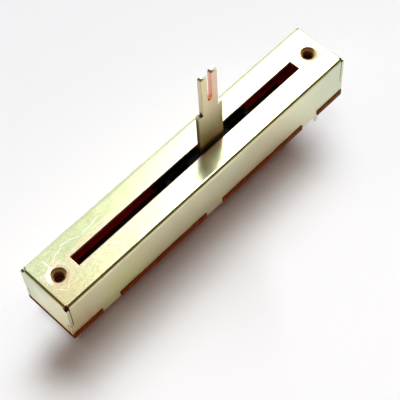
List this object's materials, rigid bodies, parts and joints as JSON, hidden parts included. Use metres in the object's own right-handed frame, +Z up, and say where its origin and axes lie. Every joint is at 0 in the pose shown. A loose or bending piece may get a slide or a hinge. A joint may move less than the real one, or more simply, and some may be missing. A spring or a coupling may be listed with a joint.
{
  "type": "slide potentiometer",
  "caption": "Slide potentiometer with a folded steel case, a long slot, a two-pronged steel lever on a sliding carriage, and tapped mounting holes.",
  "frame": {"origin": "middle of the case in plan, at the level of the terminal tips, where the part stands", "axes": "+X along the slot, +Y across it, +Z up out of the slotted face"},
  "size_m": [0.0892, 0.0152, 0.0434],
  "materials": {
    "plated_case": "zinc plate with a thin yellow passivation, satin",
    "laminate": "dark red paper laminate, sheared edges",
    "carbon_film": "printed carbon film, slightly glossy",
    "silver_film": "printed silver film, dull",
    "tinned_brass": "tin plated, dull",
    "black_acetal": "moulded, satin",
    "lever_steel": "nickel plated, satin",
    "contact_spring": "nickel silver spring sheet",
    "bronze_spring": "phosphor bronze spring strip"
  },
  "bodies": {
    "housing": {"case": "plated_case", "base_board": "laminate", "resistive_track": "carbon_film", "collector_track": "carbon_film", "silver_pad_track_near": "silver_film", "silver_pad_track_far": "silver_film", "silver_pad_collector_near": "silver_film", "terminal_track_near": "tinned_brass", "terminal_track_far": "tinned_brass", "terminal_collector_near": "tinned_brass", "terminal_spare_far": "tinned_brass", "eyelet_track_near": "tinned_brass", "eyelet_track_far": "tinned_brass", "eyelet_collector_near": "tinned_brass", "eyelet_spare_far": "tinned_brass"},
    "slider": {"carriage": "black_acetal", "lever": "lever_steel", "wiper": "contact_spring", "drag_spring_near_side": "bronze_spring", "drag_spring_far_side": "bronze_spring"}
  },
  "joints": [
    {"name": "slider_travel", "type": "slide", "parent": "housing", "child": "slider", "axis": [1, 0, 0], "range_m": [-0.0368, 0.0232]}
  ]
}
